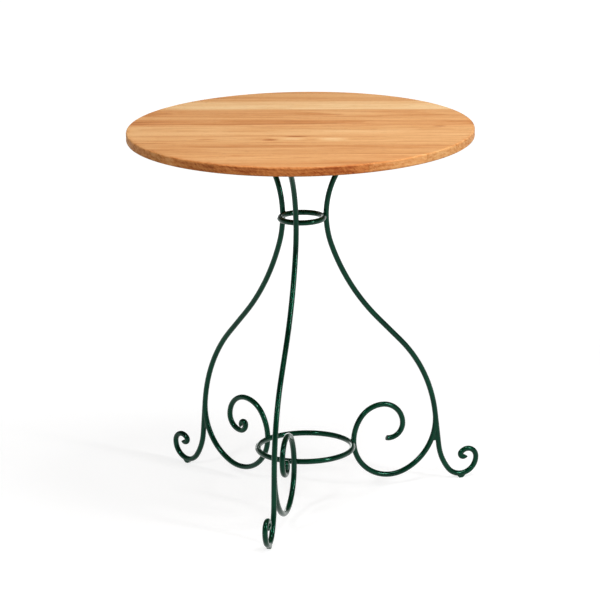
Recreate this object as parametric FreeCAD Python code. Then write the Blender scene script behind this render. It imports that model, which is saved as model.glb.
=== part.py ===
import FreeCAD, Part
import math
import os
from FreeCAD import Vector

# Garden table: a round top of edge-glued boards, screwed to a base of bent steel rod.
# Millimetres and degrees. +Z is up, the origin is on the table's axis at floor level,
# and the boards run along X. Each leg is drawn in a plane of its own, in which x is the
# distance from the table's axis and z is the height, and is then turned to its place.

# Table top
table_height = 753.0
top_diameter = 680.0
top_thickness = 18.0
top_edge_round = 3.0
board_count = 9  # those between the front one and the back one share what is left of the diameter
front_board_width = 33.0
back_board_width = 94.0

# Dowels across the glue lines
dowel_diameter = 8.0
dowel_length = 30.0
dowel_chamfer = 1.0
dowel_spacing = 160.0
dowel_rim_margin = 50.0  # least run of glue line between a dowel and the rim
dowel_clearance = 0.1
dowel_end_room = 1.0

# Rod, and the welds that join it
rod_diameter = 11.0
rod_end_round = 1.5
weld_gap = 0.2  # root gap between welded pieces, filled by the weld
bead_radius = 6.5

# Legs, from the arm under the top down to the curl of the foot
leg_sides = ("right", "left", "front")
first_leg_angle = 20.8  # from +X, anticlockwise
arm_length = 40.0
arm_end_overhang = 3.0  # of the arm past its fixing plate
flare_radius_share = 1.08  # of the rise from the neck to the arm
flare_angle = 30.0
neck_bend_radius = 185.0
neck_bend_angle = 19.0
long_bend_radius = 450.0
leg_slope = 43.0  # steepest lean, from the vertical
slope_run = 67.0
knee_bend_radius = 277.0
shank_lean = 6.0
shank_run = 70.0
ankle_bend_radius = 104.0
ankle_lean = 37.0
foot_bend_radius = 33.0
foot_curl_radius = 18.0
foot_curl_turn = 140.0
foot_eye_turn = 190.0
eye_gap = 0.4  # open space inside the tight end of a curl

# Rings, by the radius of their centreline
neck_ring_radius = 43.0
lower_ring_radius = 94.5
ring_seat_depth = 3.5  # how far a ring is let into each rod that it ties

# Inner scrolls
scroll_floor_gap = 18.0
scroll_sweep = 73.0  # turn of the long outer sweep, down from the fork
scroll_rise_radius = 84.0
scroll_rise_turn = 35.0
scroll_top_radius = 56.0
scroll_back_radius = 43.0
scroll_curl_radius = 29.0
scroll_tip_gap = 0.3  # between the tip of a closed curl and the rod round it
scroll_end_turns = (25.0, 315.0, 315.0)  # of the curl's end; the right-hand one stays open
fork_weld_thickness = 7.0
fork_weld_start_share = 0.8  # shares of the angle at which the two rods part
fork_weld_end_share = 1.25
fork_weld_rise = 2.0

# Foot studs
stud_height = 3.0
stud_width = 8.0
stud_base_length = 7.0
stud_top_length = 24.0  # at the height of the rod's centreline

# Fixing plates and screws
plate_thickness = 3.0
plate_length = 64.0
plate_width = 26.0
plate_corner = 4.0
plate_weld_width = 16.0
plate_weld_height = 4.5
plate_weld_length = 20.0
screw_spacing = 40.0
screw_diameter = 4.0
screw_length = 14.0
screw_tip_length = 3.0
screw_head_diameter = 8.0
screw_head_height = 2.4
screw_head_round = 1.0
screw_slot_width = 1.2
screw_slot_depth = 1.1
plate_hole_clearance = 0.25
pilot_clearance = 0.1

overrun = 1.0  # how far a cut runs past what it cuts

# Values that follow from the ones above
rod_radius = rod_diameter / 2
top_radius = top_diameter / 2
top_underside = table_height - top_thickness
plate_underside = top_underside - plate_thickness
arm_height = plate_underside - weld_gap - rod_radius
foot_height = stud_height + rod_radius
ring_to_rod = rod_diameter + weld_gap - ring_seat_depth
neck_x = neck_ring_radius + ring_to_rod
ring_contact_x = lower_ring_radius + ring_to_rod
scroll_low = scroll_floor_gap + rod_radius
eye_radius = rod_radius + eye_gap
quarter_turn = math.pi / 2
half_turn = math.pi
slope = math.radians(leg_slope)
lean = math.radians(shank_lean)
z_axis = Vector(0, 0, 1)
y_axis = Vector(0, 1, 0)
origin = Vector(0, 0, 0)


def outward(angle):
    # Unit vector in the leg's plane, from straight out at 0 to straight up at a quarter turn
    return Vector(math.cos(angle), 0, math.sin(angle))


def trace(start, heading, steps):
    # Follows a rod's centreline and gives its edges and its end. A heading of 0 points down
    # and a larger one leans outwards. A step is (length, 0) for a straight run, or
    # (radius, turn) for a bend.
    edges = []
    for size, turn in steps:
        if turn == 0:
            end = start + outward(heading - quarter_turn) * size
            edges.append(Part.LineSegment(start, end).toShape())
        else:
            arm = size * math.copysign(1, turn)
            centre = start + outward(heading) * arm
            middle = centre - outward(heading + turn / 2) * arm
            heading = heading + turn
            end = centre - outward(heading) * arm
            edges.append(Part.Arc(start, middle, end).toShape())
        start = end
    return edges, end


def rod_along(edges, free_ends):
    # A rod on its centreline, with a rounded rim at each end that isn't joined to another piece
    first = edges[0]
    start = first.valueAt(first.FirstParameter)
    heading = first.tangentAt(first.FirstParameter)
    section = Part.Wire([Part.Circle(start, heading, rod_radius).toShape()])
    rod = Part.Wire(edges).makePipeShell([section], True, False)
    length = sum(edge.Length for edge in edges)
    fullness = rod.Volume / (math.pi * rod_radius ** 2 * length)
    print("rod", round(length, 1), "mm long, volume over section times length", round(fullness, 6))
    rims = []
    for face in rod.Faces:
        reach = min(face.CenterOfMass.distanceToPoint(end) for end in free_ends)
        if isinstance(face.Surface, Part.Plane) and reach < rod_radius:
            rims.extend(face.Edges)
    return rod.makeFillet(rod_end_round, rims)


def face_within(outline):
    return Part.Face(Part.Wire([curve.toShape() for curve in outline]))


def slab(face, thickness):
    # A flat face in the leg's plane, thickened evenly to both sides
    face.translate(y_axis * (-thickness / 2))
    return face.extrude(y_axis * thickness)


def plane_sector(centre, inner, outer, start_angle, end_angle):
    # A piece of a flat ring in the leg's plane
    angles = (start_angle, (start_angle + end_angle) / 2, end_angle)
    near = [centre + outward(angle) * inner for angle in angles]
    far = [centre + outward(angle) * outer for angle in angles]
    return face_within([
        Part.LineSegment(near[0], far[0]),
        Part.Arc(*far),
        Part.LineSegment(far[-1], near[-1]),
        Part.Arc(*reversed(near)),
    ])


# Leg: bends from the neck to the fork, on to the foot's lowest point, and its closing curl
leg_to_fork = [
    (neck_bend_radius, math.radians(neck_bend_angle)),
    (long_bend_radius, slope - math.radians(neck_bend_angle)),
    (slope_run, 0),
    (knee_bend_radius, lean - slope),
]
fork_to_foot = [
    (shank_run, 0),
    (ankle_bend_radius, math.radians(ankle_lean) - lean),
    (foot_bend_radius, quarter_turn - math.radians(ankle_lean)),
]
foot_curl = [
    (foot_bend_radius, quarter_turn),
    (foot_curl_radius, math.radians(foot_curl_turn)),
    (eye_radius, math.radians(foot_eye_turn)),
]

# The neck's height is the drop from the neck to the foot; the flare and the shoulder bend
# above it take up the rest
foot_below_neck = trace(Vector(neck_x, 0, 0), 0, leg_to_fork + fork_to_foot)[1]
foot_x = foot_below_neck.x
neck_height = foot_height - foot_below_neck.z
flare = math.radians(flare_angle)
rise = arm_height - neck_height
flare_radius = rise * flare_radius_share
shoulder_radius = (rise - flare_radius * math.sin(flare)) / (1 - math.sin(flare))
flare_reach = flare_radius * (1 - math.cos(flare)) + shoulder_radius * math.cos(flare)
arm_end_x = neck_x + flare_reach + arm_length
plate_x = arm_end_x - arm_end_overhang - plate_width / 2
leg_top = [
    (arm_length, 0),
    (shoulder_radius, quarter_turn - flare),
    (flare_radius, flare),
]
leg_steps = leg_top + leg_to_fork + fork_to_foot + foot_curl
arm_end = Vector(arm_end_x, 0, arm_height)
leg_edges, leg_tip = trace(arm_end, -quarter_turn, leg_steps)
leg_rod = rod_along(leg_edges, [arm_end, leg_tip])

# Inner scroll: the outer sweep and the low bend are sized so that the scroll clears the floor
# by its gap and its innermost point meets the lower ring
fork = trace(Vector(neck_x, 0, neck_height), 0, leg_to_fork)[1]
sweep_turn = math.radians(scroll_sweep)
sweep_end = lean - sweep_turn
sweep_dx = math.cos(sweep_end) - math.cos(lean)
sweep_dz = math.sin(sweep_end) - math.sin(lean)
low_dx = -1 - math.cos(sweep_end)
low_dz = -1 - math.sin(sweep_end)
reach_x = ring_contact_x - fork.x
reach_z = scroll_low - fork.z
spread = sweep_dx * low_dz - low_dx * sweep_dz
sweep_radius = (reach_x * low_dz - low_dx * reach_z) / spread
low_radius = (sweep_dx * reach_z - reach_x * sweep_dz) / spread
lower_ring_height = scroll_low + low_radius
rise_turn = math.radians(scroll_rise_turn)
scroll_steps = [
    (sweep_radius, -sweep_turn),
    (low_radius, -half_turn - sweep_end),
    (scroll_rise_radius, -rise_turn),
    (scroll_top_radius, rise_turn - quarter_turn),
    (scroll_back_radius, -quarter_turn),
    (scroll_curl_radius, -quarter_turn),
]

# The last quarter turn before the eye leaves room for a tip that turns on past the eye's far side
eye_outer_radius = eye_radius + rod_radius
curl_end_radius = eye_radius + eye_outer_radius * math.cos(half_turn / 4) + scroll_tip_gap


def curl_end(turn):
    # The first quarter turn is the wider one; the rest closes the eye of the curl
    steps = [(curl_end_radius, -min(turn, quarter_turn))]
    if turn > quarter_turn:
        steps.append((eye_radius, quarter_turn - turn))
    return steps


scroll_rods = []
for end_turn in scroll_end_turns:
    end_steps = curl_end(math.radians(end_turn))
    scroll_edges, scroll_tip = trace(fork, lean, scroll_steps + end_steps)
    scroll_rods.append(rod_along(scroll_edges, [scroll_tip]))
scroll_rod = scroll_rods[0]

# Fork: leg and scroll are scarfed to each other along a curve midway between them
scarf_radius = 2 * sweep_radius
scarf_centre = fork - outward(lean) * scarf_radius
sweep_centre = fork - outward(lean) * sweep_radius
parting_angle = math.acos(1 - rod_diameter / sweep_radius)
scarf_end = lean - parting_angle
leg_side = plane_sector(
    scarf_centre, scarf_radius - rod_diameter, scarf_radius + weld_gap / 2, lean, scarf_end
)
scroll_side = plane_sector(
    scarf_centre, scarf_radius - weld_gap / 2, scarf_radius + rod_diameter, lean, scarf_end
)
cut_width = rod_diameter + 2 * overrun
scarfed_leg = leg_rod.cut(slab(leg_side, cut_width))
scroll_cut = slab(scroll_side, cut_width)
scarfed_scrolls = [rod.cut(scroll_cut) for rod in scroll_rods]


def on_leg(angle):
    return fork + outward(lean - quarter_turn) * (sweep_radius * math.sin(angle))


def on_scroll(angle):
    return sweep_centre + outward(lean - angle) * sweep_radius


# Weld that fills the fork as a web between the two rods
web_start = parting_angle * fork_weld_start_share
web_end = parting_angle * fork_weld_end_share
web_foot = (on_leg(web_end) + on_scroll(web_end)) / 2 + z_axis * fork_weld_rise
web = face_within([
    Part.LineSegment(on_scroll(web_start), on_leg(web_start)),
    Part.LineSegment(on_leg(web_start), on_leg(web_end)),
    Part.Arc(on_leg(web_end), web_foot, on_scroll(web_end)),
    Part.LineSegment(on_scroll(web_end), on_scroll(web_start)),
])
fork_weld = slab(web, fork_weld_thickness).cut(leg_rod).cut(scroll_rod)

# Rings, each let into the legs or scrolls that it ties, and the weld bead round each seat
def ring(radius, thickness, height):
    return Part.makeTorus(radius, thickness / 2, z_axis * height)


def ring_bead(seated_ring, radius, height, seated_rod):
    centre = Vector(radius + ring_to_rod / 2, 0, height)
    return Part.makeSphere(bead_radius, centre).cut(seated_ring).cut(seated_rod)


seat_thickness = rod_diameter + 2 * weld_gap
neck_ring = ring(neck_ring_radius, rod_diameter, neck_height)
lower_ring = ring(lower_ring_radius, rod_diameter, lower_ring_height)
neck_seat = ring(neck_ring_radius, seat_thickness, neck_height)
lower_seat = ring(lower_ring_radius, seat_thickness, lower_ring_height)
leg = scarfed_leg.cut(neck_seat)
scrolls = [scroll.cut(lower_seat) for scroll in scarfed_scrolls]
neck_weld = ring_bead(neck_ring, neck_ring_radius, neck_height, leg)
ring_weld = ring_bead(lower_ring, lower_ring_radius, lower_ring_height, scrolls[0])

# Stud under the foot: a wedge in the leg's plane, seated round the rod
stud_corners = [
    Vector(foot_x - stud_base_length / 2, 0, 0),
    Vector(foot_x + stud_base_length / 2, 0, 0),
    Vector(foot_x + stud_top_length / 2, 0, foot_height),
    Vector(foot_x - stud_top_length / 2, 0, foot_height),
]
stud_side = Part.Face(Part.makePolygon(stud_corners + stud_corners[:1]))
stud = slab(stud_side, stud_width).cut(leg_rod)

# Fixing plate on the arm, with its screw holes and its weld
screw_places = [Vector(plate_x, side * screw_spacing / 2, plate_underside) for side in (-1, 1)]
plate = Part.makeBox(
    plate_width,
    plate_length,
    plate_thickness,
    Vector(plate_x - plate_width / 2, -plate_length / 2, plate_underside),
)
upright_edges = [edge for edge in plate.Edges if edge.BoundBox.ZLength > plate_thickness / 2]
plate = plate.makeFillet(plate_corner, upright_edges)
plate_hole_radius = screw_diameter / 2 + plate_hole_clearance
plate_hole_depth = plate_thickness + 2 * overrun
for place in screw_places:
    hole_foot = place - z_axis * overrun
    plate = plate.cut(Part.makeCylinder(plate_hole_radius, plate_hole_depth, hole_foot))

weld_x = plate_x - plate_weld_length / 2
weld_foot = plate_underside - plate_weld_height
weld_corners = [
    Vector(weld_x, -plate_weld_width / 2, plate_underside),
    Vector(weld_x, plate_weld_width / 2, plate_underside),
    Vector(weld_x, rod_radius, weld_foot),
    Vector(weld_x, -rod_radius, weld_foot),
]
weld_section = Part.Face(Part.makePolygon(weld_corners + weld_corners[:1]))
plate_weld = weld_section.extrude(Vector(plate_weld_length, 0, 0)).cut(leg_rod)


def wood_screw(place):
    head_foot = place - z_axis * screw_head_height
    head = Part.makeCylinder(screw_head_diameter / 2, screw_head_height, head_foot)
    lowest = [edge for edge in head.Edges if edge.BoundBox.ZMax < place.z - screw_head_height / 2]
    head = head.makeFillet(screw_head_round, lowest)
    shank_length = screw_length - screw_tip_length
    shank = Part.makeCylinder(screw_diameter / 2, shank_length, place)
    tip = Part.makeCone(screw_diameter / 2, 0, screw_tip_length, place + z_axis * shank_length)
    slot_corner = Vector(-screw_head_diameter / 2, -screw_slot_width / 2, -overrun)
    slot = Part.makeBox(
        screw_head_diameter, screw_slot_width, screw_slot_depth + overrun, head_foot + slot_corner
    )
    return head.multiFuse([shank, tip]).removeSplitter().cut(slot)


def pilot_hole(place):
    depth = screw_length + pilot_clearance
    return Part.makeCylinder(screw_diameter / 2 + pilot_clearance, depth, place)


def turned(shape, angle):
    copy = shape.copy()
    copy.rotate(origin, z_axis, angle)
    return copy


leg_angles = [first_leg_angle + 360 * number / len(leg_sides) for number in range(len(leg_sides))]
screws = [wood_screw(place) for place in screw_places]
pilots = [turned(pilot_hole(place), angle) for place in screw_places for angle in leg_angles]

# Glue lines of the top, from the front to the back
middle_boards = board_count - 2
board_width = (top_diameter - front_board_width - back_board_width) / middle_boards
first_line = front_board_width - top_radius
glue_lines = [first_line + board_width * number for number in range(board_count - 1)]
board_edges = [-top_radius] + glue_lines + [top_radius]


def dowel_places(line):
    # Evenly spaced about the middle of a glue line, as far as its ends leave room
    half_line = math.sqrt(top_radius ** 2 - line ** 2)
    reach = half_line - dowel_rim_margin
    places = []
    x = dowel_spacing / 2
    while x < reach:
        for side in (-1, 1):
            places.append(Vector(side * x, line, top_underside + top_thickness / 2))
        x = x + dowel_spacing
    return places


def dowel(place):
    start = place - y_axis * (dowel_length / 2)
    pin = Part.makeCylinder(dowel_diameter / 2, dowel_length, start, y_axis)
    ends = [edge for edge in pin.Edges if edge.isClosed()]
    return pin.makeChamfer(dowel_chamfer, ends)


def dowel_hole(place):
    half_length = dowel_length / 2 + dowel_end_room
    radius = dowel_diameter / 2 + dowel_clearance
    return Part.makeCylinder(radius, 2 * half_length, place - y_axis * half_length, y_axis)


all_dowel_places = [place for line in glue_lines for place in dowel_places(line)]
disc = Part.makeCylinder(top_radius, top_thickness, z_axis * top_underside)
rims = [edge for edge in disc.Edges if edge.isClosed()]
disc = disc.makeFillet(top_edge_round, rims)
holes = pilots + [dowel_hole(place) for place in all_dowel_places]


def board(near, far):
    strip = Part.makeBox(
        top_diameter, far - near, top_thickness, Vector(-top_radius, near, top_underside)
    )
    return disc.common(strip).cut(holes)


def save(name, shapes):
    solids = [solid for shape in shapes for solid in shape.Solids]
    volume = sum(solid.Volume for solid in solids)
    sound = all(solid.isValid() for solid in solids)
    print(name, len(solids), "solids", round(volume, 1), "mm3", "sound" if sound else "NOT SOUND")
    Part.makeCompound(solids).exportStep(os.path.join("parts", name + ".step"))


os.makedirs("parts", exist_ok=True)
for number, (near, far) in enumerate(zip(board_edges, board_edges[1:]), 1):
    save("top_board_" + str(number), [board(near, far)])
save("board_dowels", [dowel(place) for place in all_dowel_places])
for side, angle, scroll in zip(leg_sides, leg_angles, scrolls):
    save("leg_" + side, [turned(leg, angle)])
    save("scroll_" + side, [turned(scroll, angle)])
    save("foot_stud_" + side, [turned(stud, angle)])
    save("fixing_plate_" + side, [turned(plate, angle)])
save("neck_ring", [neck_ring])
save("lower_ring", [lower_ring])
welds = {
    "neck_welds": neck_weld,
    "ring_welds": ring_weld,
    "fork_welds": fork_weld,
    "plate_welds": plate_weld,
}
for name, weld in welds.items():
    save(name, [turned(weld, angle) for angle in leg_angles])
save("top_screws", [turned(screw, angle) for screw in screws for angle in leg_angles])
print("neck height", round(neck_height, 1), "and lower ring height", round(lower_ring_height, 1))
print("foot radius", round(foot_x, 1), "and plate radius", round(plate_x, 1))
print("bend radii: flare", round(flare_radius, 1), "shoulder", round(shoulder_radius, 1))
print("scroll radii: sweep", round(sweep_radius, 1), "low bend", round(low_radius, 1))
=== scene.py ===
import math

import bpy
import bmesh
from mathutils import Matrix, Vector


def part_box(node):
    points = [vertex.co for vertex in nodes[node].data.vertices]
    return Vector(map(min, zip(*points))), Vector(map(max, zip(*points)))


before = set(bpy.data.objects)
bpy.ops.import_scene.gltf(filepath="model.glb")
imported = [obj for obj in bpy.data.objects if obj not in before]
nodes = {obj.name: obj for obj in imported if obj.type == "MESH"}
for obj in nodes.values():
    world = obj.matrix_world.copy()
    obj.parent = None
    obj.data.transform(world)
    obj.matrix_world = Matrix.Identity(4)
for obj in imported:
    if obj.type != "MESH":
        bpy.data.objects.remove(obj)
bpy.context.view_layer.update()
print("stage: frame loaded,", len(nodes), "nodes")


# Small helpers for building materials

def newMaterial(name):
    material = bpy.data.materials.new(name)
    material.use_nodes = True
    tree = material.node_tree
    tree.nodes.clear()
    output = tree.nodes.new("ShaderNodeOutputMaterial")
    shader = tree.nodes.new("ShaderNodeBsdfPrincipled")
    tree.links.new(shader.outputs["BSDF"], output.inputs["Surface"])
    return material, tree, shader


def plug(tree, socket, value):
    # a socket takes a link, a list or a plain number
    if isinstance(value, bpy.types.NodeSocket):
        tree.links.new(value, socket)
    else:
        socket.default_value = value


def mathNode(tree, operation, first, second=0.0, clamp=False):
    node = tree.nodes.new("ShaderNodeMath")
    node.operation = operation
    node.use_clamp = clamp
    plug(tree, node.inputs[0], first)
    plug(tree, node.inputs[1], second)
    return node.outputs[0]


def plus(tree, first, second):
    return mathNode(tree, "ADD", first, second)


def minus(tree, first, second):
    return mathNode(tree, "SUBTRACT", first, second)


def times(tree, first, second):
    return mathNode(tree, "MULTIPLY", first, second)


def absolute(tree, value):
    return mathNode(tree, "ABSOLUTE", value)


def vectorNode(tree, operation, first, second=(0, 0, 0)):
    node = tree.nodes.new("ShaderNodeVectorMath")
    node.operation = operation
    plug(tree, node.inputs[0], first)
    plug(tree, node.inputs[1], second)
    return node.outputs["Value" if operation == "LENGTH" else "Vector"]


def scaledLength(tree, vector, scale):
    return vectorNode(tree, "LENGTH", vectorNode(tree, "MULTIPLY", vector, scale))


def mapRange(tree, value, fromMin, fromMax, toMin, toMax, kind="SMOOTHSTEP"):
    node = tree.nodes.new("ShaderNodeMapRange")
    node.interpolation_type = kind
    ends = {"Value": value, "From Min": fromMin, "From Max": fromMax, "To Min": toMin, "To Max": toMax}
    for name, number in ends.items():
        plug(tree, node.inputs[name], number)
    return node.outputs["Result"]


def noiseNode(tree, vector, scale, detail, roughness=0.55, distortion=0.0):
    node = tree.nodes.new("ShaderNodeTexNoise")
    plug(tree, node.inputs["Vector"], vector)
    node.inputs["Scale"].default_value = scale
    node.inputs["Detail"].default_value = detail
    node.inputs["Roughness"].default_value = roughness
    node.inputs["Distortion"].default_value = distortion
    return node.outputs


def plainNoise(tree, place, scale, detail):
    return noiseNode(tree, place, scale, detail)["Fac"]


def stretchedNoise(tree, place, scales, detail, **shape):
    # a smaller scale along one axis draws the pattern out that way
    stretched = vectorNode(tree, "MULTIPLY", place, scales)
    return noiseNode(tree, stretched, scale=1.0, detail=detail, **shape)["Fac"]


noiseMiddle = 0.5
noiseSpan = (0.3, 0.7)  # where most values of a noise lie


def mixColour(tree, factor, first, second, blend="MIX"):
    node = tree.nodes.new("ShaderNodeMix")
    node.data_type = "RGBA"
    node.blend_type = blend
    plug(tree, node.inputs[0], factor)
    plug(tree, node.inputs[6], first)  # the colour sockets A and B
    plug(tree, node.inputs[7], second)
    return node.outputs[2]


def tinted(tree, colour, tint):
    return mixColour(tree, 1.0, colour, tint, "MULTIPLY")


def colourSteps(tree, factor, steps):
    node = tree.nodes.new("ShaderNodeValToRGB")
    ramp = node.color_ramp
    while len(ramp.elements) < len(steps):
        ramp.elements.new(1.0)  # its place is set below
    for element, (place, colour) in zip(ramp.elements, steps):
        element.position = place
        element.color = (*colour, 1)
    plug(tree, node.inputs["Fac"], factor)
    return node.outputs["Color"]


def bumpNode(tree, height, strength, distance):
    node = tree.nodes.new("ShaderNodeBump")
    node.inputs["Strength"].default_value = strength
    node.inputs["Distance"].default_value = distance
    plug(tree, node.inputs["Height"], height)
    return node.outputs["Normal"]


def objectPlace(tree):
    return tree.nodes.new("ShaderNodeTexCoord").outputs["Object"]


def objectNormal(tree):
    return tree.nodes.new("ShaderNodeTexCoord").outputs["Normal"]


def split(tree, vector):
    node = tree.nodes.new("ShaderNodeSeparateXYZ")
    plug(tree, node.inputs[0], vector)
    return node.outputs


def seenRays(tree):
    # 1 for what the camera sees, also in gloss or through glass, and 0 for light on the object
    path = tree.nodes.new("ShaderNodeLightPath")
    seen = plus(tree, path.outputs["Is Camera Ray"], path.outputs["Is Glossy Ray"])
    return mathNode(tree, "ADD", seen, path.outputs["Is Transmission Ray"], clamp=True)


def linear(red, green, blue):
    # from the 0 to 255 values of a colour chart
    shades = [value / 255 for value in (red, green, blue)]
    return tuple(v / 12.92 if v < 0.04045 else ((v + 0.055) / 1.055) ** 2.4 for v in shades)


def shaded(colour, factor):
    return (*(channel * factor for channel in colour), 1)


def dress(names, material):
    for name in names:
        slots = nodes[name].data.materials
        slots.clear()
        slots.append(material)


# Oiled boards of the top. Grain runs along X, and each board is cut from its own log.
woodLook = {
    "shades": [  # from pale to deep
        (0.0, linear(240, 200, 148)), (0.32, linear(229, 176, 119)),
        (0.62, linear(209, 144, 86)), (1.0, linear(156, 84, 40)),
    ],
    "warmShift": (0.04, -0.07, -0.16),  # what one step of warm does to red, green and blue
    "seedStep": (1, 0.7, 0.3),
    # the log
    "wanderScale": (2.4, 9, 9), "wanderReach": (0.03, 0.022, 0.022),
    "taper": 0.055,  # how fast it narrows, which draws the arches of flat-sawn boards
    "ringStep": 0.0075, "ringRise": (0.2, 0.9), "ringFall": (0.91, 1.0),
    "unevenScale": (3, 60, 60), "unevenRings": 1.4,
    "earlyTone": -0.04, "lateTone": 0.14,
    # grain
    "broadScale": (1.1, 36, 36), "broadTone": 0.28,
    "streakScale": (3.6, 100, 100), "streakTone": 0.58,
    "fibreScale": (14, 900, 900), "fibreTone": 0.5, "fibreRelief": 0.5,
    "poreScale": (55, 1500, 1500), "poreCut": (0.62, 0.72),
    "poreDark": 0.4, "poreShade": 0.6, "poreRough": 0.2,
    # marks on single boards
    "heartEdge": 0.001,
    "stripeEdge": (0.5, 1.2), "stripeFaded": 0.45,
    "spotEdge": (0.25, 1.3),
    # rim
    "rimFacing": (0.35, 0.9), "rimTint": (0.97, 0.88, 0.78, 1),
    "endFacing": (0.25, 0.9), "endTint": (1.0, 0.99, 0.97, 1),
    "figureScale": (170, 60, 130), "figureSlant": 1.1, "figureTone": 1.1,
    "soakScale": (36, 36, 36), "soakPatches": (0.36, 0.64), "soakReach": (0.003, 0.016), "soakAmount": 0.7,
    # glue and finish
    "glueWidth": 0.00025, "glueDark": 0.5, "glueShade": 0.5, "glueRelief": 1.5,
    "roughness": (0.5, 0.66), "specular": 0.12,
    "bump": (0.35, 0.0004),  # strength, then height in metres
}
# tone: shade of the board, larger is darker. warm: towards red. pith: where the log's heart lies (x, y, z).
# seed: the board's own part of the grain noise. heart: (radius, amount) of darker wood at the log's heart.
# stripe: (y, half width, amount, half length of its fade along x, where a minus sign fades it to the right).
# spots: knots and pale patches, each (x, y, half length, half width, amount), where a minus sign is paler.
# rimTone, rimWarm and the rim spots do the same on the rim alone, on top of the rest. The pale rim spots at
# the right ends of boards 2 and 3 are painted light, where the rim is lit from the right.
boardLooks = {
    "top_board_1": {
        "tone": 0.59, "warm": 0.25, "pith": (-0.2, -0.330, 0.700), "seed": 1.7,
        "rimTone": 0.14, "rimWarm": 1.15,
        "rimSpotsAndPaintedLight": [(0.09, -0.331, 0.05, 0.02, 0.16), (-0.13, -0.315, 0.05, 0.03, -0.1)],
    },
    "top_board_2": {
        "tone": 0.47, "warm": 0.1, "pith": (0.3, -0.262, 0.560), "seed": 4.2,
        "stripe": (-0.300, 0.012, 0.13, 0.1),
        "rimWarm": 0.6,
        # rim spots: darker reddish wood at the left end; the pale ones towards the right end are painted
        # light, the rim lit from the right
        "rimSpotsAndPaintedLight": [(-0.160, -0.300, 0.07, 0.06, 0.27), (0.155, -0.303, 0.03, 0.04, -0.06),
                     (0.245, -0.235, 0.09, 0.09, -0.2)],
    },
    "top_board_3": {
        "tone": 0.54, "warm": -0.15, "pith": (-0.1, -0.190, 0.640), "seed": 7.9,
        "stripe": (-0.152, 0.006, 0.05, -0.2),
        # rim spots: paler at the right end, which is painted light where the rim is lit from the right, and
        # darker at the left end
        "rimSpotsAndPaintedLight": [(0.30, -0.17, 0.07, 0.08, -0.18), (-0.27, -0.21, 0.04, 0.04, 0.1)],
    },
    "top_board_4": {
        "tone": 0.44, "warm": -0.05, "pith": (0.1, -0.106, 0.700), "seed": 11.3,
        "spots": [(-0.007, -0.077, 0.024, 0.008, 0.3), (-0.051, -0.109, 0.016, 0.010, 0.32),
                  (-0.177, -0.102, 0.026, 0.006, 0.26), (-0.010, -0.101, 0.030, 0.010, -0.3),
                  (0.068, -0.102, 0.034, 0.014, -0.34), (-0.30, -0.138, 0.07, 0.007, 0.2)],
    },
    "top_board_5": {
        "tone": 0.38, "warm": 0.0, "pith": (0.0, -0.020, 0.420), "seed": 15.1,
        "spots": [(0.28, -0.045, 0.09, 0.004, 0.14), (-0.22, -0.018, 0.08, 0.005, -0.16)],
    },
    "top_board_6": {
        "tone": 0.45, "warm": 0.2, "pith": (-0.3, 0.049, 0.655), "seed": 18.6,
        "stripe": (0.047, 0.024, 0.18, -0.35),
        "spots": [(0.275, 0.016, 0.014, 0.006, 0.4)],
    },
    "top_board_7": {
        "tone": 0.47, "warm": 0.1, "pith": (-0.42, 0.125, 0.790), "seed": 22.4,
        "heart": (0.0460, 0.11),
        "spots": [(0.19, 0.150, 0.05, 0.006, 0.2)],
    },
    "top_board_8": {
        "tone": 0.22, "warm": -0.1, "pith": (0.2, 0.200, 0.480), "seed": 26.0,
        "stripe": (0.192, 0.02, -0.12, 0.1),
    },
    "top_board_9": {"tone": 0.45, "warm": -0.05, "pith": (0.1, 0.300, 0.660), "seed": 29.5},
}
topRadius = max(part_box(name)[1].x for name in boardLooks)


def warmTint(warmth):
    return (*(1 + shift * warmth for shift in woodLook["warmShift"]), 1)


def seedShift(look):
    return tuple(look["seed"] * step for step in woodLook["seedStep"])


def spotTone(tree, place, spots):
    # sum of soft ovals drawn out along the grain
    total = 0.0
    for x, y, halfLength, halfWidth, amount in spots:
        away = vectorNode(tree, "SUBTRACT", place, (x, y, 0))
        away = scaledLength(tree, away, (1 / halfLength, 1 / halfWidth, 0))
        total = plus(tree, total, mapRange(tree, away, *woodLook["spotEdge"], amount, 0.0))
    return total


def boardGrain(tree, look):
    wood = woodLook
    place = objectPlace(tree)
    shifted = vectorNode(tree, "ADD", place, seedShift(look))

    # the log wanders a little along its length
    wanderPlace = vectorNode(tree, "MULTIPLY", shifted, wood["wanderScale"])
    wander = noiseNode(tree, wanderPlace, scale=1.0, detail=3.0, roughness=0.5)
    sway = vectorNode(tree, "SUBTRACT", wander["Color"], (noiseMiddle, noiseMiddle, noiseMiddle))
    sway = vectorNode(tree, "MULTIPLY", sway, wood["wanderReach"])
    bent = vectorNode(tree, "ADD", place, sway)

    # growth rings round the log's heart, each slowly darker and then cut off
    fromPith = vectorNode(tree, "SUBTRACT", bent, look["pith"])
    radius = scaledLength(tree, fromPith, (wood["taper"], 1, 1))
    uneven = stretchedNoise(tree, shifted, wood["unevenScale"], detail=2.0)
    ringCount = mathNode(tree, "DIVIDE", radius, wood["ringStep"])
    ringCount = plus(tree, ringCount, times(tree, uneven, wood["unevenRings"]))
    ring = mathNode(tree, "FRACT", ringCount)
    rise = mapRange(tree, ring, *wood["ringRise"], 0.0, 1.0)
    lateWood = times(tree, rise, mapRange(tree, ring, *wood["ringFall"], 1.0, 0.0))

    # broad bands, streaks, fibres and pores, all drawn out along the grain
    drawnOut = vectorNode(tree, "ADD", shifted, sway)
    pores = stretchedNoise(tree, drawnOut, wood["poreScale"], detail=1.0)
    return {
        "place": place, "shifted": shifted, "bent": bent, "radius": radius, "lateWood": lateWood,
        "broad": stretchedNoise(tree, drawnOut, wood["broadScale"], detail=2.0),
        "streak": stretchedNoise(tree, drawnOut, wood["streakScale"], detail=3.0),
        "fibre": stretchedNoise(tree, drawnOut, wood["fibreScale"], detail=4.0, roughness=0.65),
        "pore": mapRange(tree, pores, *wood["poreCut"], 0.0, 1.0),
    }


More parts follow.
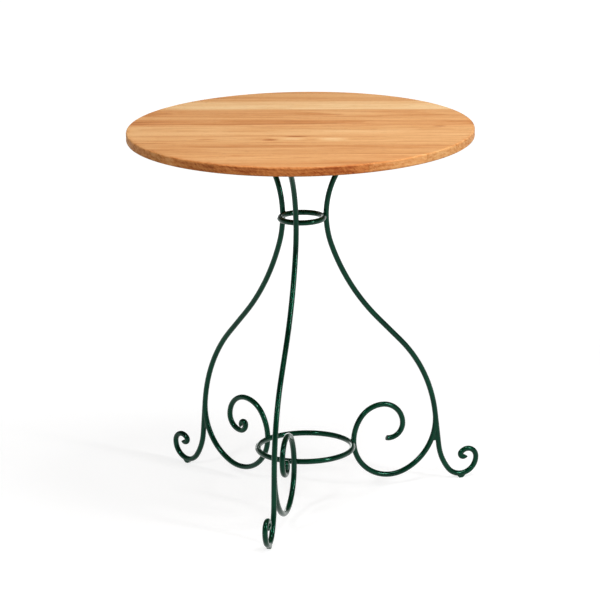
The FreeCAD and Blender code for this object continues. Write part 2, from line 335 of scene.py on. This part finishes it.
def boardTone(tree, look, grain):
    # tone of each point, from pale to deep
    wood = woodLook
    tone = plus(tree, look["tone"] + wood["earlyTone"], times(tree, grain["lateWood"], wood["lateTone"]))
    for kind in ("broad", "streak", "fibre"):
        swing = minus(tree, grain[kind], noiseMiddle)
        tone = plus(tree, tone, times(tree, swing, wood[kind + "Tone"]))
    if "heart" in look:
        reach, amount = look["heart"]
        edge = wood["heartEdge"]
        tone = plus(tree, tone, mapRange(tree, grain["radius"], reach - edge, reach + edge, amount, 0.0))
    if "stripe" in look:
        middle, halfWidth, amount, fade = look["stripe"]
        spread = split(tree, grain["bent"])
        off = absolute(tree, minus(tree, spread["Y"], middle))
        inner, outer = wood["stripeEdge"]
        band = mapRange(tree, off, halfWidth * inner, halfWidth * outer, amount, 0.0)
        ends = (1.0, wood["stripeFaded"]) if fade < 0 else (wood["stripeFaded"], 1.0)
        along = mapRange(tree, spread["X"], -abs(fade), abs(fade), *ends)
        tone = plus(tree, tone, times(tree, band, along))
    if "spots" in look:
        tone = plus(tree, tone, spotTone(tree, grain["bent"], look["spots"]))
    return tone


def rimShare(tree, grain, upright):
    # 1 on the rim and 0 on the faces, with oil soaking unevenly from the rim into the edge of the face
    wood = woodLook
    rim = mapRange(tree, absolute(tree, upright), *wood["rimFacing"], 1.0, 0.0)
    inward = minus(tree, topRadius, scaledLength(tree, grain["place"], (1, 1, 0)))
    patchy = stretchedNoise(tree, grain["shifted"], wood["soakScale"], detail=3.0)
    reach = mapRange(tree, patchy, *wood["soakPatches"], *wood["soakReach"])
    soak = mapRange(tree, inward, 0.0, reach, wood["soakAmount"], 0.0)
    return mathNode(tree, "MAXIMUM", rim, soak)


def rimFigure(tree, look, grain, bottom):
    # slanting figure of the rim, with the rim's own tone and spots, the pale spots at its right end being
    # painted light
    wood = woodLook
    slant = wood["figureSlant"]
    shift = seedShift(look)
    across = split(tree, grain["shifted"])
    slanted = tree.nodes.new("ShaderNodeCombineXYZ")
    plug(tree, slanted.inputs["X"], plus(tree, across["X"], times(tree, across["Z"], slant)))
    plug(tree, slanted.inputs["Y"], across["Y"])
    plug(tree, slanted.inputs["Z"], across["Z"])
    figure = stretchedNoise(tree, slanted.outputs[0], wood["figureScale"],
                            detail=4.0, roughness=0.65, distortion=0.6)
    tone = times(tree, minus(tree, figure, noiseMiddle), wood["figureTone"])
    tone = plus(tree, tone, look.get("rimTone", 0.0))
    if "rimSpotsAndPaintedLight" in look:
        back = (shift[0] + (shift[2] + bottom) * slant, shift[1], shift[2])
        place = vectorNode(tree, "SUBTRACT", slanted.outputs[0], back)
        tone = plus(tree, tone, spotTone(tree, place, look["rimSpotsAndPaintedLight"]))
    return tone


def glueLine(tree, place, edges):
    # hairline of glue where the board meets the next one
    wood = woodLook
    across = split(tree, place)["Y"]
    nearest = topRadius  # farther than any glue line
    for edge in edges:
        if abs(edge) < topRadius - wood["glueWidth"]:
            nearest = mathNode(tree, "MINIMUM", nearest, absolute(tree, minus(tree, across, edge)))
    return mapRange(tree, nearest, 0.0, wood["glueWidth"], wood["glueDark"], 0.0)


def boardWood(name, look):
    wood = woodLook
    material, tree, shader = newMaterial("oiled_wood_" + name)
    low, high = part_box(name)
    grain = boardGrain(tree, look)
    facing = split(tree, objectNormal(tree))
    rim = rimShare(tree, grain, facing["Z"])
    tone = plus(tree, boardTone(tree, look, grain), times(tree, rimFigure(tree, look, grain, low.z), rim))
    colour = tinted(tree, colourSteps(tree, tone, wood["shades"]), warmTint(look["warm"]))
    deep = wood["shades"][-1][1]
    poreDark = times(tree, grain["pore"], wood["poreDark"])
    colour = mixColour(tree, poreDark, colour, shaded(deep, wood["poreShade"]))

    # the rim drinks more oil than the face
    oiled = tinted(tree, tinted(tree, colour, wood["rimTint"]), warmTint(look.get("rimWarm", 0.0)))
    colour = mixColour(tree, rim, colour, oiled)
    endGrain = mapRange(tree, absolute(tree, facing["X"]), *wood["endFacing"], 0.0, 1.0)
    colour = mixColour(tree, endGrain, colour, tinted(tree, colour, wood["endTint"]))
    glue = glueLine(tree, grain["place"], (low.y, high.y))
    colour = mixColour(tree, glue, colour, shaded(deep, wood["glueShade"]))
    plug(tree, shader.inputs["Base Color"], colour)

    rough = mapRange(tree, grain["fibre"], *noiseSpan, *wood["roughness"], kind="LINEAR")
    rough = plus(tree, rough, times(tree, grain["pore"], wood["poreRough"]))
    plug(tree, shader.inputs["Roughness"], rough)
    shader.inputs["Specular IOR Level"].default_value = wood["specular"]
    height = minus(tree, times(tree, grain["fibre"], wood["fibreRelief"]), grain["pore"])
    height = minus(tree, height, times(tree, glue, wood["glueRelief"]))
    plug(tree, shader.inputs["Normal"], bumpNode(tree, height, *wood["bump"]))
    return material


for boardName, boardLook in boardLooks.items():
    dress([boardName], boardWood(boardName, boardLook))
print("stage: boards oiled")


# Dowels inside the top
dowelLook = {
    "pale": linear(226, 196, 150), "deep": linear(196, 158, 108),
    "fleckScale": (700, 40, 700),
    "roughness": (0.6, 0.75),
    "bump": (0.3, 0.0003),
}


def dowelWood():
    material, tree, shader = newMaterial("dowel_wood")
    fleck = stretchedNoise(tree, objectPlace(tree), dowelLook["fleckScale"], detail=3.0)
    colour = colourSteps(tree, fleck, list(zip(noiseSpan, (dowelLook["pale"], dowelLook["deep"]))))
    plug(tree, shader.inputs["Base Color"], colour)
    plug(tree, shader.inputs["Roughness"], mapRange(tree, fleck, *noiseSpan, *dowelLook["roughness"]))
    plug(tree, shader.inputs["Normal"], bumpNode(tree, fleck, *dowelLook["bump"]))
    return material


dress(["board_dowels"], dowelWood())
print("stage: dowels dressed")


# Gloss paint on the whole base
paintLook = {
    "deep": linear(0, 22, 12), "light": linear(3, 56, 34),
    "cloudScale": 26, "cloudSpan": (0.3, 0.75),
    "roughness": (0.1, 0.18),
    "specular": 0.36, "specularTint": (0.05, 0.8, 0.44, 1),
    "coat": 0.17, "coatRoughness": 0.03,
    "peelScale": 260, "peelRelief": 0.4,
    "runScale": (120, 120, 30),
    "bump": (0.15, 0.0005),
}


def greenPaint():
    paint = paintLook
    material, tree, shader = newMaterial("green_paint")
    place = objectPlace(tree)
    cloud = plainNoise(tree, place, paint["cloudScale"], detail=3.0)
    colour = colourSteps(tree, cloud, list(zip(paint["cloudSpan"], (paint["deep"], paint["light"]))))
    plug(tree, shader.inputs["Base Color"], colour)
    peel = plainNoise(tree, place, paint["peelScale"], detail=2.0)
    run = stretchedNoise(tree, place, paint["runScale"], detail=2.0)
    height = plus(tree, times(tree, peel, paint["peelRelief"]), run)
    plug(tree, shader.inputs["Normal"], bumpNode(tree, height, *paint["bump"]))
    plug(tree, shader.inputs["Roughness"], mapRange(tree, cloud, *paint["cloudSpan"], *paint["roughness"]))
    shader.inputs["Specular IOR Level"].default_value = paint["specular"]
    shader.inputs["Specular Tint"].default_value = paint["specularTint"]
    shader.inputs["Coat Weight"].default_value = paint["coat"]
    shader.inputs["Coat Roughness"].default_value = paint["coatRoughness"]
    return material


paintedNames = [name for name in nodes if not name.startswith(("top_", "board_"))]
dress(paintedNames, greenPaint())
print("stage: base painted,", len(paintedNames), "nodes")


# Zinc-plated screws under the top
screwLook = {
    "zinc": linear(176, 176, 172), "dull": linear(128, 126, 118),
    "spangleScale": 900, "spangleSpan": (0.35, 0.65),
    "roughness": (0.5, 0.28),
    "bump": (0.15, 0.0001),
}


def screwSteel():
    material, tree, shader = newMaterial("screw_steel")
    spangle = plainNoise(tree, objectPlace(tree), screwLook["spangleScale"], detail=3.0)
    steps = list(zip(screwLook["spangleSpan"], (screwLook["dull"], screwLook["zinc"])))
    plug(tree, shader.inputs["Base Color"], colourSteps(tree, spangle, steps))
    shader.inputs["Metallic"].default_value = 1.0
    plug(tree, shader.inputs["Roughness"], mapRange(tree, spangle, *noiseSpan, *screwLook["roughness"]))
    plug(tree, shader.inputs["Normal"], bumpNode(tree, spangle, *screwLook["bump"]))
    return material


dress(["top_screws"], screwSteel())
print("stage: screws dressed")


# Pale studio floor, which glows a little near the table and more far off
floorLook = {
    "radius": 9.0, "segments": 96,
    "colour": (0.36, 0.36, 0.36, 1), "roughness": 0.9, "specular": 0.0,
    "glow": (0.75, 0.94), "glowFade": (0.6, 4.0),
}


def paleFloor():
    mesh = bpy.data.meshes.new("floor")
    bm = bmesh.new()
    bmesh.ops.create_circle(bm, cap_ends=True, segments=floorLook["segments"], radius=floorLook["radius"])
    bm.to_mesh(mesh)
    bm.free()
    floor = bpy.data.objects.new("floor", mesh)
    bpy.context.scene.collection.objects.link(floor)
    material, tree, shader = newMaterial("floor_white")
    shader.inputs["Base Color"].default_value = floorLook["colour"]
    shader.inputs["Roughness"].default_value = floorLook["roughness"]
    shader.inputs["Specular IOR Level"].default_value = floorLook["specular"]
    distance = vectorNode(tree, "LENGTH", objectPlace(tree))
    glow = mapRange(tree, distance, *floorLook["glowFade"], *floorLook["glow"])
    shader.inputs["Emission Color"].default_value = (1, 1, 1, 1)
    plug(tree, shader.inputs["Emission Strength"], times(tree, seenRays(tree), glow))
    mesh.materials.append(material)


paleFloor()
print("stage: floor laid")


# Studio light: pale walls under a dim ceiling, a box overhead, a box in front, a strip at the right
# and a low, weak fill behind
worldLook = {"shown": (0.8, 0.1), "shownFade": (0.1, 0.35), "light": 0.26}
lampLooks = {
    "overhead_box": {"place": (0.75, -0.5, 3.0), "aim": (0, 0, 0.6), "size": (1.2, 1.2), "power": 38},
    "front_box": {"place": (-1.4, -2.2, 2.7), "aim": (0, 0, 0.4), "size": (0.4, 0.8), "power": 28},
    "back_fill": {"place": (-0.6, 2.6, 0.45), "aim": (0, 0, 0.35), "size": (1.8, 0.7), "power": 9},
    "right_strip": {"place": (2.5, -1.5, 1.8), "aim": (0, 0, 0.5), "size": (0.35, 1.5), "power": 48},
}


def studioWalls():
    world = bpy.data.worlds.new("studio")
    bpy.context.scene.world = world
    world.use_nodes = True
    tree = world.node_tree
    tree.nodes.clear()
    output = tree.nodes.new("ShaderNodeOutputWorld")
    background = tree.nodes.new("ShaderNodeBackground")
    tree.links.new(background.outputs[0], output.inputs["Surface"])
    background.inputs["Color"].default_value = (1, 1, 1, 1)
    up = split(tree, tree.nodes.new("ShaderNodeTexCoord").outputs["Generated"])["Z"]
    shown = mapRange(tree, up, *worldLook["shownFade"], *worldLook["shown"])  # from the walls to the ceiling
    strength = mapRange(tree, seenRays(tree), 0.0, 1.0, worldLook["light"], shown, kind="LINEAR")
    plug(tree, background.inputs["Strength"], strength)


def studioLamp(name, look):
    lamp = bpy.data.lights.new(name, "AREA")
    lamp.shape = "RECTANGLE"
    lamp.size, lamp.size_y = look["size"]
    lamp.energy = look["power"]
    box = bpy.data.objects.new(name, lamp)
    bpy.context.scene.collection.objects.link(box)
    place = Vector(look["place"])
    turn = (Vector(look["aim"]) - place).to_track_quat("-Z", "Y")
    box.matrix_world = Matrix.Translation(place) @ turn.to_matrix().to_4x4()
    box.visible_camera = False


studioWalls()
for lampName, lampLook in lampLooks.items():
    studioLamp(lampName, lampLook)
print("stage: light set,", len(lampLooks), "lamps")


# Camera at the photograph's place, angles in degrees
cameraLook = {
    "place": (0.4046, -6.8108, 2.2731),
    "yaw": -3.448, "pitch": 15.313, "roll": -0.899,
    "lens": 214.88, "sensor": 36, "clipEnd": 60,
}


def setCamera():
    data = bpy.data.cameras.new("camera")
    data.lens = cameraLook["lens"]
    data.sensor_width = cameraLook["sensor"]
    data.clip_end = cameraLook["clipEnd"]
    camera = bpy.data.objects.new("camera", data)
    bpy.context.scene.collection.objects.link(camera)
    turn = Matrix.Rotation(math.radians(-cameraLook["yaw"]), 4, "Z")
    tilt = Matrix.Rotation(math.radians(90 - cameraLook["pitch"]), 4, "X")  # 90 looks level
    roll = Matrix.Rotation(math.radians(cameraLook["roll"]), 4, "Z")
    camera.matrix_world = Matrix.Translation(cameraLook["place"]) @ turn @ tilt @ roll
    bpy.context.scene.camera = camera


setCamera()
bpy.context.scene.view_settings.view_transform = "Standard"
print("stage: camera set")
